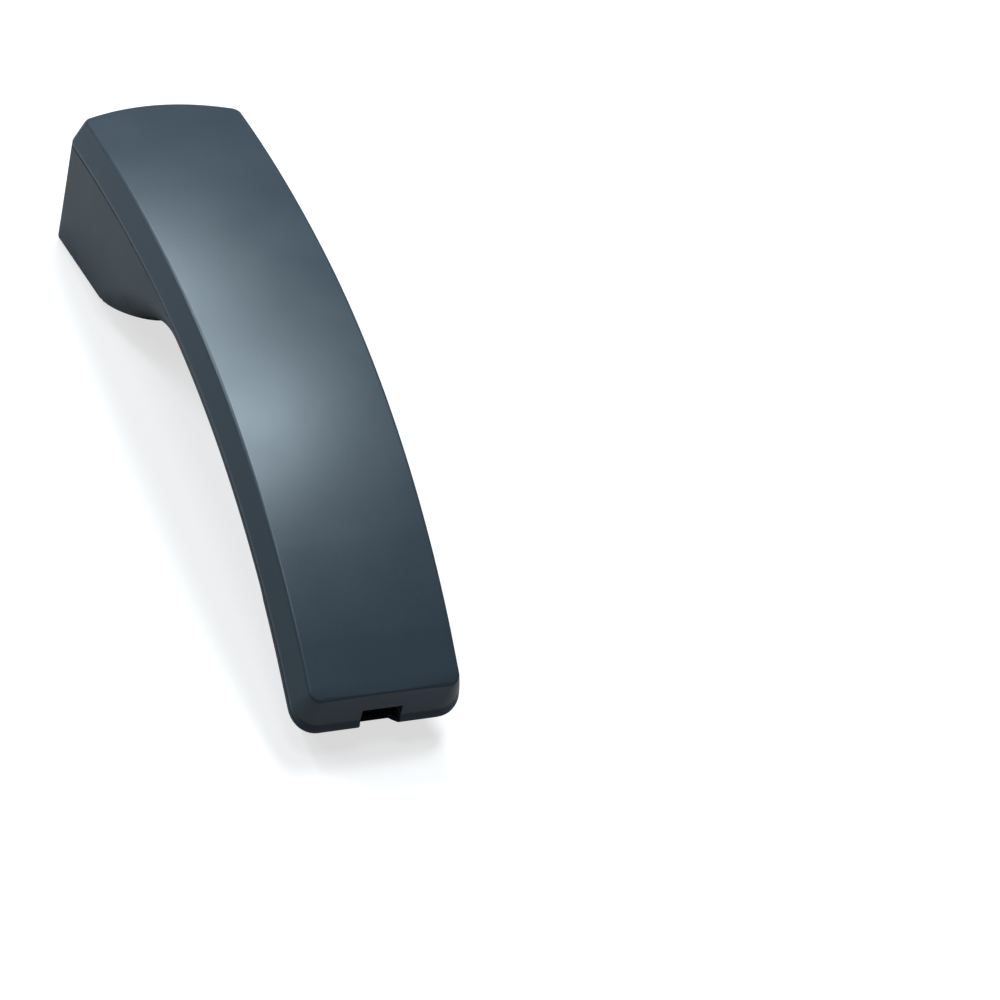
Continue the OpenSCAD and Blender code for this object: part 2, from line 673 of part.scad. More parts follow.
module front_shell() {
    color(front_colour) difference() {
        union() {
            rest() front_loft();
            for (s = [ear_screw_s, mic_screw_s])
                on_arch(s, plug_n(s) - 0.6)
                    cylinder(d = post_d + 0.6, h = plug_n(s) - 0.6 - meet_n - seat_clear, $fn = 48);
            for (a = screw_angles)
                on_ear_face() rotate([0, 0, a]) translate([retainer_screw_r, 0, dish_depth + 1])
                    cylinder(d = boss_d, h = retainer_z - dish_depth - 1 - seat_clear, $fn = 32);
            on_mic_face() translate([0, 0, wall / 2])
                ring(capsule_d + 2 * boot_wall + 3, capsule_d + 2 * boot_wall + 2 * fit_clear, 5);
            for (side = [-1, 1])
                on_arch(ballast_s + side * (ballast_len / 2 + 1), grip_depth - wall / 2)
                    translate([-bar_rib_w / 2, -rib_t / 2, 0]) cube([bar_rib_w, rib_t, ballast_t + wall / 2]);
            for (side = [-1, 1]) on_jack() {
                translate([side * jack_w / 4, 0, 0]) side_plate(jack_cradle, rib_t);
                translate([side * (jack_w / 2 + rib_t / 2 + 2 * seat_clear), 0, 0])
                    side_plate(jack_fence, rib_t);
            }
        }
        on_ear_face() {
            dish();
            sound_slots();
            translate([0, 0, seat_z])
                cylinder(d = receiver_d + 2 * fit_clear, h = receiver_h + 4, $fn = 96);
            translate([0, 0, cloth_z]) cylinder(d = cloth_d + 0.2, h = 3, $fn = 64);
            for (a = screw_angles) rotate([0, 0, a])
                translate([retainer_screw_r, 0, retainer_z - small_screw_len])
                    cylinder(d = small_screw_d, h = small_screw_len + 1, $fn = 24);
        }
        on_mic_face() {
            translate([0, 0, -1]) cylinder(d = dimple_d, h = 1 + dimple_depth, $fn = 64);
            for (j = [-1 : 1]) translate([j * mic_hole_pitch, 0, -1])
                cylinder(d = mic_hole_d, h = wall + 2, $fn = 24);
            translate([0, 0, boot_z])
                cylinder(d = capsule_d + 2 * boot_wall + 2 * fit_clear, h = 4, $fn = 64);
            translate([0, 0, felt_z]) cylinder(d = capsule_d, h = 2, $fn = 48);
        }
        for (s = [ear_screw_s, mic_screw_s]) {
            on_arch(s, plug_n(s) + 2) cylinder(d = well_d, h = plug_n(s) + 2 - head_n, $fn = 48);
            on_arch(s, head_n + 1) cylinder(d = screw_d + 2 * fit_clear, h = head_n, $fn = 32);
        }
        notch();
        translate([-crown_w, -ear_reach * 1.2, -2]) cube([2 * crown_w, ear_reach * 2.4, 2]);
    }
}

module acoustic_cloth() {
    color("#1d1f21") on_ear_face() translate([0, 0, cloth_z]) cylinder(d = cloth_d, h = cloth_t, $fn = 64);
}
module receiver_gasket() {
    color("#26282a") on_ear_face() translate([0, 0, seat_z]) ring(receiver_d - 0.4, gasket_hole_d, gasket_t);
}
module receiver_frame() {
    color("#2b2d30") on_ear_face() translate([0, 0, frame_z]) difference() {
        cylinder(d = receiver_d, h = receiver_h, $fn = 96);
        translate([0, 0, -1]) cylinder(d = receiver_d - 2 * receiver_wall - 2.4, h = lip_t + 2, $fn = 64);
        translate([0, 0, lip_t])
            cylinder(d = receiver_d - 2 * receiver_wall, h = receiver_h - lip_t - plate_t, $fn = 96);
        translate([0, 0, 1]) cylinder(d = yoke_d + 2 * seat_clear, h = receiver_h, $fn = 64);
    }
}
module receiver_diaphragm() {
    color("#d8d4c6") on_ear_face() translate([0, 0, diaphragm_z]) {
        cylinder(d = receiver_d - 2 * receiver_wall - 2 * fit_clear, h = diaphragm_t, $fn = 96);
    }
}
module voice_coil() {
    color("#b5652a") on_ear_face() translate([0, 0, coil_z])
        ring(magnet_d + 0.6 + 2 * coil_wall, magnet_d + 0.6, coil_h);
}
module pole_plate() {
    color(metal_colour) on_ear_face() translate([0, 0, pole_z]) cylinder(d = magnet_d, h = pole_t, $fn = 64);
}
module receiver_magnet() {
    color("#4a4c50") on_ear_face() translate([0, 0, magnet_z])
        cylinder(d = magnet_d - 0.4, h = magnet_h, $fn = 64);
}
module receiver_yoke() {
    color(metal_colour) on_ear_face() difference() {
        translate([0, 0, pole_z]) cylinder(d = yoke_d, h = yoke_base_z + yoke_wall - pole_z, $fn = 64);
        translate([0, 0, pole_z - 1])
            cylinder(d = yoke_d - 2 * yoke_wall, h = yoke_base_z - pole_z + 1, $fn = 64);
    }
}
board_w = 9;
board_l = 4.6;
board_t = 1;
board_y = -(yoke_d / 2 + 0.5 + board_l / 2);
module terminal_board() {
    color("#2f6b3c") on_ear_face() translate([-board_w / 2, board_y - board_l / 2, frame_top_z])
        cube([board_w, board_l, board_t]);
    color(metal_colour) for (side = [-1, 1])
        on_ear_face() translate([side * 2.4, board_y, frame_top_z + board_t - 0.2])
            cylinder(d = 2, h = 0.6, $fn = 24);
}
module receiver_retainer() {
    color("#33363a") on_ear_face() translate([0, 0, retainer_z]) difference() {
        union() {
            ring(receiver_d - 1, yoke_d + 1.6, retainer_t);
            for (a = screw_angles) rotate([0, 0, a]) {
                translate([retainer_screw_r, 0, 0]) cylinder(d = boss_d, h = retainer_t, $fn = 32);
                translate([receiver_d / 2 - 3, -boss_d / 2, 0])
                    cube([retainer_screw_r - receiver_d / 2 + 3, boss_d, retainer_t]);
            }
        }
        for (a = screw_angles) rotate([0, 0, a]) translate([retainer_screw_r, 0, -1])
            cylinder(d = small_screw_d + 2 * fit_clear, h = retainer_t + 2, $fn = 24);
        translate([-board_w / 2 - 0.8, -receiver_d, -1])
            cube([board_w + 1.6, receiver_d - 8, retainer_t + 2]);
    }
}
// A screw whose head sits on z = 0 and whose thread runs down from it
module screw(thread_d, head_d, head_h, len) {
    translate([0, 0, -len]) cylinder(d = thread_d - 2 * seat_clear, h = len + 0.1, $fn = 32);
    difference() {
        cylinder(d = head_d, h = head_h, $fn = 48);
        for (a = [0, 90]) rotate([0, 0, a]) translate([-head_d / 3, -0.35, head_h / 2])
            cube([head_d / 1.5, 0.7, head_h]);
    }
}
module retainer_screw(j) {
    color(metal_colour) on_ear_face() rotate([0, 0, screw_angles[j]])
        translate([retainer_screw_r, 0, retainer_z + retainer_t])
            screw(small_screw_d, small_head_d, small_head_h, small_screw_len);
}
module microphone_felt() {
    color("#1d1f21") on_mic_face() translate([0, 0, felt_z])
        cylinder(d = capsule_d - 0.2, h = felt_t, $fn = 48);
}
module microphone_boot() {
    color("#1b1c1e") on_mic_face() translate([0, 0, boot_z]) difference() {
        cylinder(d = capsule_d + 2 * boot_wall, h = boot_wall + capsule_h, $fn = 64);
        translate([0, 0, boot_wall]) cylinder(d = capsule_d + 2 * seat_clear, h = capsule_h + 1, $fn = 64);
        translate([0, 0, -1]) cylinder(d = 7, h = boot_wall + 2, $fn = 32);
    }
}
module microphone_capsule() {
    color("#c3c5c8") on_mic_face() translate([0, 0, capsule_z]) difference() {
        cylinder(d = capsule_d, h = capsule_h, $fn = 64);
        translate([0, 0, -1]) cylinder(d = 2, h = 1.6, $fn = 24);
        for (side = [-1, 1]) translate([side * 1.3, 0, capsule_h - 0.3]) cylinder(d = 1.6, h = 1, $fn = 24);
    }
}
// The jack's own frame: +Y into the handset from its front face, z = 0 at its underside
module on_jack() {
    on_arch(-mic_reach, jack_n + jack_h) translate([0, jack_front, 0]) children();
}
plug_z = 1.2;
module jack_housing() {
    color("#1d1f22") on_jack() difference() {
        translate([-jack_w / 2, 0, 0]) cube([jack_w, jack_len, jack_h]);
        translate([-plug_w / 2, -1, plug_z]) cube([plug_w, plug_len + 1, plug_h]);
        translate([-1.7, -1, plug_z - 0.8]) cube([3.4, plug_len - 2, 1.6]);
        for (j = [0 : contact_count - 1])
            translate([contact_x(j) - contact_t / 2 - seat_clear, 1.5, plug_z + plug_h - 0.01])
                cube([contact_t + 2 * seat_clear, jack_len, 0.8]);
    }
}
function contact_x(j) = (j - (contact_count - 1) / 2) * contact_pitch;
module jack_contacts() {
    top = plug_z + plug_h + 0.7;
    color("#d8b45a") on_jack() for (j = [0 : contact_count - 1])
        translate([contact_x(j) + contact_t / 2, 0, 0]) rotate([90, 0, -90])
            linear_extrude(height = contact_t)
                polygon([
                    [-jack_len - 1.5, top], [-1.8, top], [-7, top - 3.4], [-7.4, top - 3.1],
                    [-2.9, top - contact_t], [-jack_len - 1.5, top - contact_t]
                ]);
}
// Parts that follow the arch: a flat strip of width w between two depths
module arch_strip(s, len, w, top_n, bottom_n) {
    half = len / arch_r / 2 * 180 / PI;
    mid = slope_angle(s);
    rest() translate([0, 0, -arch_r]) rotate([0, -90, 0]) rotate([0, 0, mid - half])
        rotate_extrude(angle = 2 * half, $fn = 180)
            translate([arch_r - bottom_n, -w / 2]) square([bottom_n - top_n, w]);
}
ballast_n = grip_depth - wall - seat_clear;
ballast_top_n = ballast_n - ballast_t;
pad_bottom_n = ballast_top_n;
pad_top_n = pad_bottom_n - pad_t;
module ballast_bar() {
    color("#7d8084") arch_strip(ballast_s, ballast_len, ballast_w, ballast_top_n, ballast_n);
}
module ballast_pad() {
    color("#3a3a3c") arch_strip(ballast_s, ballast_len - 4, ballast_w - 4, pad_top_n, pad_bottom_n);
}
// A round wire through points given on the arch
wire_sides = 6;
function unit(v) = v / norm(v);
function spline_point(p, t) =
    let (
        i = min(floor(t), len(p) - 2),
        f = t - i,
        a = p[max(i - 1, 0)],
        b = p[i],
        c = p[i + 1],
        d = p[min(i + 2, len(p) - 1)]
    )
    0.5 * (2 * b + (c - a) * f + (2 * a - 5 * b + 4 * c - d) * f * f
        + (3 * b - a - 3 * c + d) * f * f * f);
module wire(route, rings) {
    path = [for (j = [0 : rings]) arch_point(spline_point(route, j * (len(route) - 1) / rings))];
    points = [
        for (j = [0 : rings])
        let (
            along = unit(path[min(j + 1, rings)] - path[max(j - 1, 0)]),
            side = unit(cross(along, [0.3, 0.1, 0.95])),
            up = cross(side, along)
        )
        for (k = [0 : wire_sides - 1])
        path[j] + wire_d / 2 * (cos(360 * k / wire_sides) * side + sin(360 * k / wire_sides) * up)
    ];
    sides = [
        for (j = [0 : rings - 1], k = [0 : wire_sides - 1])
        let (a = j * wire_sides + k, b = j * wire_sides + (k + 1) % wire_sides)
        each [[a, b, b + wire_sides], [a, b + wire_sides, a + wire_sides]]
    ];
    first = [for (k = [0 : wire_sides - 1]) wire_sides - 1 - k];
    last = [for (k = [0 : wire_sides - 1]) rings * wire_sides + k];
    rest() polyhedron(points = points, faces = concat(sides, [first], [last]));
}
// Routes as places along the crown, across and below the crown
function receiver_route(side) = [
    [60.1, side * 2.4, 20.2], [58.6, side * 2.2, 16.6], [53, 3 + side * 0.8, 11.5],
    [43, 9 + side * 0.8, 8.2], [28, 13 + side * 0.8, 8], [8, 14 + side * 0.8, 8],
    [-16, 14 + side * 0.8, 8], [-40, 13 + side * 0.8, 8], [-57, 8.5 + side * 0.8, 8],
    [-70, 2.2 + side * 0.75, 7.4], [-77, side * 0.68, 6.4], [-81.4, side * 0.66, 5.8]
];
function microphone_route(side) = [
    [-76.5, side * 1.3, 16.1], [-76.6, side * 1.3, 13.5], [-77.4, side * 2.2, 9.5],
    [-79, side * 2.1, 6.6], [-81.4, side * 1.92, 5.8]
];
module receiver_wires() {
    color("#a8322c") wire(receiver_route(-1), 34);
    color("#2e7d4f") wire(receiver_route(1), 34);
}
module microphone_wires() {
    color("#c9a227") wire(microphone_route(-1), 10);
    color("#2b2b2b") wire(microphone_route(1), 10);
}
module housing_screw(s) {
    color(metal_colour) on_arch(s, head_n) mirror([0, 0, 1])
        screw(screw_d, screw_head_d, screw_head_h, screw_len);
}
module screw_plug(s) {
    color(front_colour) on_arch(s, plug_n(s) - 0.3)
        cylinder(d = well_d - 2 * fit_clear, h = plug_t, $fn = 48);
}

back_shell();
front_shell();
acoustic_cloth();
receiver_gasket();
receiver_frame();
receiver_diaphragm();
voice_coil();
pole_plate();
receiver_magnet();
receiver_yoke();
terminal_board();
receiver_retainer();
retainer_screw(0);  // retainer_screw_1
retainer_screw(1);  // retainer_screw_2
retainer_screw(2);  // retainer_screw_3
microphone_felt();
microphone_boot();
microphone_capsule();
jack_housing();
jack_contacts();
ballast_bar();
ballast_pad();
receiver_wires();
microphone_wires();
housing_screw(ear_screw_s);  // ear_side_screw
housing_screw(mic_screw_s);  // mic_side_screw
screw_plug(ear_screw_s);  // ear_side_plug
screw_plug(mic_screw_s);  // mic_side_plug
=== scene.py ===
# Telephone handset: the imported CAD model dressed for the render.
# The shells are made again from the same lofts as in part.scad, with finer steps and rounded edges.
# Their maths is in millimetres; a finished mesh is scaled to metres.
import math

import bpy
from mathutils import Matrix, Vector


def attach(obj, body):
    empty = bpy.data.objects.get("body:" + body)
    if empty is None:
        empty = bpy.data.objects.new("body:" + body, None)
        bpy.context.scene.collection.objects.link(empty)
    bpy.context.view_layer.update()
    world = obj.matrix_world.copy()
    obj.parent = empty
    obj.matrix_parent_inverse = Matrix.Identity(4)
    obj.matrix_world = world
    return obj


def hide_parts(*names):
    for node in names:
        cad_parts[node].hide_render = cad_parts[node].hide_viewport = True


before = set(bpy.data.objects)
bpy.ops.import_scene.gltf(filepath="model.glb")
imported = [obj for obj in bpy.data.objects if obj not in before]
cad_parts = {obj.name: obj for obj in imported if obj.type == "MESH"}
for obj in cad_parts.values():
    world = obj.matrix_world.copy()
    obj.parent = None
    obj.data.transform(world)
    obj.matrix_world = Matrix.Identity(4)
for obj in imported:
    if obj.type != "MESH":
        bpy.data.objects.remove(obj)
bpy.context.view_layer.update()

# Placement of the arch in the row frame
REST_TILT = math.asin(0.0860569)
REST_SHIFT = (0, -5.34819, 46.6468)
REST = Matrix.Translation(REST_SHIFT) @ Matrix.Rotation(REST_TILT, 4, "X")

# Camera fitted to the photograph: its place and its axes on the arch
CAMERA_AT = Vector((-521.3, -644.2, 943.8))
CAMERA_RIGHT = Vector((0.8868, -0.3353, 0.318))
CAMERA_DOWN = Vector((-0.1019, -0.8131, -0.5731))
CAMERA_FORWARD = Vector((0.4508, 0.4758, -0.7553))
CAMERA_LENS = 172.52
MM = 0.001

# Crown
EAR_REACH = 100.2
MIC_REACH = 94.6
ARCH_R = 240
EAR_ARCH_R = 350
ARCH_CHANGE = 35
CROWN_W_MIC = 42.5
CROWN_W = 44.6
CROWN_W_EAR = 46
CROWN_BULGE = 0.7
EAR_END_BULGE = 4.8
CROWN_CORNER_MIC = 3
CROWN_CORNER_EAR = 2
CROWN_EDGE_R = 1

# Sides
SIDE_LEAN = 2.8
MIC_SLOPE_OUT = 5
EAR_LEAN = 1.7
SIDE_DROP = 6.45
LIP_H = 1.4
MIC_LIP_OUT = 1.9
CORNER_R = 7
EAR_END_CORNER_R = 2.2
MIN_CORNER_R = 0.4
WALL = 2.2
PART_GAP = 0.2
TONGUE_H = 1.5
TONGUE_CLEAR = 0.15
LIP_EDGE_R = 0.2
CREASE = 0.12

# Underside
GRIP_DEPTH = 18.6
GRIP_FLAT = 10.8
STRIP_H = 1
EDGE_FULLNESS = 2.2
EAR_DEPTH = 37.4
EAR_FACE_ANGLE = math.radians(19.5)
EAR_FACE_LEN = 44.4
EAR_CORNER_R = 16
EAR_WALL_STEEP = 0.95
EAR_BLEND = 20
EAR_RIM_R = 1
EAR_END_DRAFT = 1
EAR_FLOOR = 5
MIC_DEPTH = 25
MIC_FACE_NEAR = 63
MIC_FACE_FAR = 90
MIC_WALL_STEEP = 0.7
MIC_BLEND = 5

# Fineness of the lofts: steps round a corner, across, and between part.scad's stations
CORNER_STEPS = 10
CROSS_STEPS = 24
FINE = 3

# Depths of the back shell's levels below the rounded crown edge, and around the crease
SIDE_LEVELS = [1.2, 2.3, 3.4, 4.9]
CREASE_LEVELS = [SIDE_DROP + d for d in (-0.3, -0.12, 0, 0.12, 0.3)]

# A round cutter's run past a face, its step before the fillet, and the fineness of a slot
CUTTER_END = 2
CUTTER_STEP = 0.03
SLOT_STEPS = 16
SLOT_END_STEPS = 8

# Half width, half length and depth of the cutter for the flats on which the handset rests
GROUND_CUTTER = (60, 120, 2)

# Angle beyond which an edge is shaded sharp
SHARP_ANGLE = math.radians(28)

# The arch
CHANGE_ANGLE = ARCH_CHANGE / ARCH_R
FLAT_CENTRE = (
    (ARCH_R - EAR_ARCH_R) * math.sin(CHANGE_ANGLE),
    (ARCH_R - EAR_ARCH_R) * math.cos(CHANGE_ANGLE) - ARCH_R,
)


def arch_at(s):
    """Angle, centre and radius of the arch at s along the crown."""
    if s > ARCH_CHANGE:
        return CHANGE_ANGLE + (s - ARCH_CHANGE) / EAR_ARCH_R, FLAT_CENTRE, EAR_ARCH_R
    return s / ARCH_R, (0, -ARCH_R), ARCH_R


def side_point(s, n):
    angle, centre, radius = arch_at(s)
    return centre[0] + (radius - n) * math.sin(angle), centre[1] + (radius - n) * math.cos(angle)


def arch_point(p):
    y, z = side_point(p[0], p[2])
    return REST @ Vector((p[1], y, z))


def plane_depth(s, point, lean):
    """Depth below the crown of a plane through point whose normal leans by an angle."""
    angle, centre, radius = arch_at(s)
    along = (point[0] - centre[0]) * math.sin(lean) + (point[1] - centre[1]) * math.cos(lean)
    return radius - along / math.cos(angle - lean)


def smooth(t):
    t = min(max(t, 0), 1)
    return t * t * (3 - 2 * t)


def smooth_max(a, b, k):
    h = max(k - abs(a - b), 0) / k
    return max(a, b) + h * h * k / 4


# The plan
WIDTH_CURVE = (
    ((CROWN_W_EAR - CROWN_W) / EAR_REACH + (CROWN_W_MIC - CROWN_W) / MIC_REACH)
    / (EAR_REACH + MIC_REACH) / 2
)
WIDTH_SLOPE = (CROWN_W_EAR - CROWN_W) / EAR_REACH / 2 - WIDTH_CURVE * EAR_REACH
PART_N = SIDE_DROP + LIP_H
STRIP_N = PART_N + STRIP_H
TONGUE_N = PART_N - TONGUE_H
TONGUE_IN = MIC_LIP_OUT + 0.8
MIC_END = -(MIC_REACH + MIC_SLOPE_OUT + MIC_LIP_OUT)
EAR_END = EAR_REACH + EAR_LEAN


def crown_half(s):
    s = min(max(s, -MIC_REACH), EAR_REACH)
    return CROWN_W / 2 + WIDTH_SLOPE * s + WIDTH_CURVE * s * s


def side_half(s):
    return crown_half(s) + SIDE_LEAN


# The ear face and the mouthpiece face
EAR_LOW = side_point(EAR_REACH, EAR_DEPTH)
EAR_INNER = (
    EAR_LOW[0] - EAR_FACE_LEN * math.cos(EAR_FACE_ANGLE),
    EAR_LOW[1] + EAR_FACE_LEN * math.sin(EAR_FACE_ANGLE),
)
EAR_IN_S = ARCH_CHANGE + EAR_ARCH_R * (
    math.atan2(EAR_INNER[0] - FLAT_CENTRE[0], EAR_INNER[1] - FLAT_CENTRE[1]) - CHANGE_ANGLE
)
EAR_STRETCH = EAR_ARCH_R / (EAR_ARCH_R - EAR_DEPTH)
EAR_SIDE_S = EAR_IN_S + EAR_STRETCH * EAR_CORNER_R
BLEND_START = EAR_IN_S - 1.4 * EAR_BLEND
MIC_MID = -(MIC_FACE_NEAR + MIC_FACE_FAR) / 2
MIC_LOW = side_point(MIC_MID, MIC_DEPTH)


def ear_face_n(s):
    return plane_depth(s, EAR_LOW, EAR_FACE_ANGLE)


def mic_face_n(s):
    return plane_depth(s, MIC_LOW, arch_at(MIC_MID)[0])


MIC_WALL_TOP = mic_face_n(-MIC_FACE_NEAR)


def rim_s(s, x):
    c = min(max(x - side_half(s) + EAR_CORNER_R, 0), EAR_CORNER_R)
    return EAR_IN_S + EAR_STRETCH * (EAR_CORNER_R - math.sqrt(EAR_CORNER_R**2 - c * c))


def grip_n(s):
    if s > 0:
        return GRIP_DEPTH
    if s < -MIC_FACE_NEAR:
        return mic_face_n(max(s, -MIC_FACE_FAR))
    return smooth_max(GRIP_DEPTH, MIC_WALL_TOP - (s + MIC_FACE_NEAR) * MIC_WALL_STEEP, MIC_BLEND)


def flat_half(s):
    """Half width of the flat middle of the underside."""
    if s < EAR_IN_S:
        inner = side_half(EAR_IN_S) - EAR_CORNER_R
        share = smooth((s - BLEND_START) / (EAR_IN_S - BLEND_START))
        return GRIP_FLAT + (inner - GRIP_FLAT) * share
    d = min((s - EAR_IN_S) / EAR_STRETCH, EAR_CORNER_R)
    arc = math.sqrt(EAR_CORNER_R**2 - (EAR_CORNER_R - d) ** 2)
    return min(side_half(s) - EAR_CORNER_R + arc, side_half(s) - EAR_RIM_R)


def under_n(s, x, r):
    """Depth of the underside, where r runs from 0 at the flat middle to 1 at the side."""
    g = STRIP_N + (grip_n(s) - STRIP_N) * (1 - r**EDGE_FULLNESS)
    if s <= 0:
        return g
    face = ear_face_n(s)
    rim = rim_s(s, x)
    if s >= rim:
        return face
    return min(face, smooth_max(g, ear_face_n(rim) - (rim - s) * EAR_WALL_STEEP, EAR_BLEND))


# Stations along the arch
def steps(a, b, count):
    return [a + (b - a) * j / count for j in range(count)]


MID = (
    steps(10 - MIC_FACE_FAR, -MIC_FACE_NEAR, 3 * FINE)
    + steps(-MIC_FACE_NEAR, 10 - MIC_FACE_NEAR, 4 * FINE)
    + steps(10 - MIC_FACE_NEAR, BLEND_START, 6 * FINE)
    + steps(BLEND_START, EAR_IN_S, 7 * FINE)
    + [
        EAR_IN_S + (EAR_SIDE_S - EAR_IN_S) * (1 - math.cos(math.pi / 10 / FINE * j))
        for j in range(5 * FINE)
    ]
    + steps(EAR_SIDE_S, EAR_REACH - EAR_END_CORNER_R - 1, 5 * FINE)
)
LAST_ROW = len(MID) + 2 * CORNER_STEPS + 1


# A place q on a loft is its row along the arch and its step across
def row_s(i, ends, radii):
    """Where row i lies along the arch, closer together in the corners."""
    if i <= CORNER_STEPS:
        return ends[0] + radii[0] * (1 - math.cos(math.pi / 2 * i / CORNER_STEPS))
    if i >= LAST_ROW - CORNER_STEPS:
        return ends[1] - radii[1] * (1 - math.cos(math.pi / 2 * (LAST_ROW - i) / CORNER_STEPS))
    return MID[i - CORNER_STEPS - 1]


def row_cut(i, radii):
    """How much a rounded corner takes off the half width at row i."""
    if i <= CORNER_STEPS:
        return radii[0] * (1 - math.sin(math.pi / 2 * i / CORNER_STEPS))
    if i >= LAST_ROW - CORNER_STEPS:
        return radii[1] * (1 - math.sin(math.pi / 2 * (LAST_ROW - i) / CORNER_STEPS))
    return 0


def bulge(s, x):
    """The ear end's curve, which fades out along the crown."""
    fade = smooth((s - EAR_IN_S) / (EAR_REACH - EAR_IN_S))
    return EAR_END_BULGE * (1 - (x / side_half(s)) ** 2) * fade


def inner_r(r, t):
    """Corner radius left at a distance t inside a corner of radius r."""
    return max(r - t, MIN_CORNER_R)


def across(q):
    """The place's share of the half width, from -1 to 1."""
    return 2 * q[1] / CROSS_STEPS - 1


def back_point(q, n, out, inset=0):
    """The back shell's outline at depth n, standing out from the crown's outline by out."""
    grow = min(n / SIDE_DROP, 1)
    radii = (
        CROWN_CORNER_MIC + (CORNER_R - CROWN_CORNER_MIC) * grow - inset,
        inner_r(CROWN_CORNER_EAR + (EAR_END_CORNER_R - CROWN_CORNER_EAR) * grow, inset),
    )
    s = row_s(q[0], (-MIC_REACH - out[1], EAR_REACH + out[2]), radii)
    u = across(q)
    x = u * (crown_half(s) + out[0] - row_cut(q[0], radii))
    rise = CROWN_BULGE * (1 - u * u) * (1 - min(grow * 4, 1))
    return s + bulge(s, x), x, n - rise


def part_point(q, inset, n, end_inset=0):
    """The parting line's outline moved inwards, at depth n."""
    out = (
        SIDE_LEAN - inset,
        MIC_SLOPE_OUT + MIC_LIP_OUT - inset - end_inset,
        EAR_LEAN - inset,
    )
    return back_point(q, max(n, SIDE_DROP), out, inset)[:2] + (n,)


def rounded_out(n, slope):
    """How far an arc that rounds the crown's edge stands out at depth n, then the leaning side."""
    if n >= CROWN_EDGE_R * (1 - slope / math.hypot(1, slope)):
        return slope * n
    centre = CROWN_EDGE_R * (slope - math.hypot(1, slope))
    return centre + math.sqrt(CROWN_EDGE_R**2 - (CROWN_EDGE_R - n) ** 2)


def side_out(n, reach, lip_slope):
    """How far a side stands out at depth n, with a soft crease where it turns into the lip."""
    slope = reach / SIDE_DROP
    if n < SIDE_DROP / 2:
        return rounded_out(n, slope)
    d = n - SIDE_DROP
    return reach + (slope + lip_slope) / 2 * d + (lip_slope - slope) / 2 * math.hypot(d, CREASE)


def back_out(n):
    """How far the sides, the mouthpiece end and the ear end stand out at depth n."""
    lip_slope = MIC_LIP_OUT / (LIP_H - PART_GAP)
    mic_out = side_out(n, MIC_SLOPE_OUT, lip_slope)
    return side_out(n, SIDE_LEAN, 0), mic_out, side_out(n, EAR_LEAN, 0)


# The front shell's outside and inside
def shell_t(s, t):
    """Thickness of the front shell's floor at s, or 0 on the outside, where t is 0."""
    if t == 0:
        return 0
    return WALL + (EAR_FLOOR - WALL) * smooth((s - EAR_IN_S + EAR_BLEND / 2) / EAR_BLEND * 2)


def upright_n(s, t):
    """Depth at which the side, moved inwards by t, meets the underside."""
    side = side_half(s)
    r = (side - t - flat_half(s)) / (side - flat_half(s))
    n = under_n(s, side - t, max(r, 0))
    if t == 0 and s > EAR_IN_S:
        n = min(n, ear_face_n(s) - EAR_RIM_R)
    return n - shell_t(s, t)


def front_side(q, a, t, top=PART_N):
    """The front shell's side, where a runs from 0 at the top to 1 at the underside."""
    radii = (CORNER_R - t, inner_r(EAR_END_CORNER_R, t))
    s = row_s(q[0], (MIC_END + t, EAR_END - t - a * EAR_END_DRAFT), radii)
    x = across(q) * (side_half(s) - t - row_cut(q[0], radii))
    at = s + bulge(s, x)
    return at, x, top + (upright_n(at, t) - top) * a


def front_under(q, r, t):
    """The front shell's underside, where r runs from 0 at the flat middle to 1 at the side."""
    flat_end = -MIC_FACE_FAR + t / 2
    ends = (
        flat_end + (MIC_END + t - flat_end) * r,
        EAR_END - t - EAR_END_DRAFT - (EAR_RIM_R if t == 0 else 0.2) * (1 - r),
    )
    radii = ((CORNER_R - t) * (0.3 + 0.7 * r), inner_r(EAR_END_CORNER_R, t))
    s = row_s(q[0], ends, radii)
    side = side_half(s) - t
    flat = min(flat_half(s), side - 0.5)
    half = flat + (side - flat) * r
    share = max(1 - t / (side_half(s) - flat_half(s)), 0)
    x = across(q) * (half - row_cut(q[0], radii))
    at = s + bulge(s, x)
    n = under_n(at, abs(across(q)) * half, r * share)
    if t == 0 and at > EAR_IN_S:
        n = min(n, ear_face_n(at) - EAR_RIM_R * (1 - math.sqrt(max(1 - r * r, 0))))
    return at, x, n - shell_t(at, t)


# Lofts: loops of points round the border, closed by two lids
BORDER = (
    [(0, k) for k in range(CROSS_STEPS + 1)]
    + [(i, CROSS_STEPS) for i in range(1, LAST_ROW)]
    + [(LAST_ROW, CROSS_STEPS - k) for k in range(CROSS_STEPS + 1)]
    + [(LAST_ROW - i, 0) for i in range(1, LAST_ROW)]
)
INSIDE = [(i, k) for i in range(1, LAST_ROW) for k in range(1, CROSS_STEPS)]
BORDER_INDEX = {q: j for j, q in enumerate(BORDER)}
INSIDE_INDEX = {q: j for j, q in enumerate(INSIDE)}


def lid(border, inside):
    """The faces of a lid whose border and inside points start at two places."""
    faces = []
    for i in range(LAST_ROW):
        for k in range(CROSS_STEPS):
            corners = [(i, k), (i, k + 1), (i + 1, k + 1), (i + 1, k)]
            faces.append([
                border + BORDER_INDEX[q] if q in BORDER_INDEX else inside + INSIDE_INDEX[q]
                for q in corners
            ])
    return faces


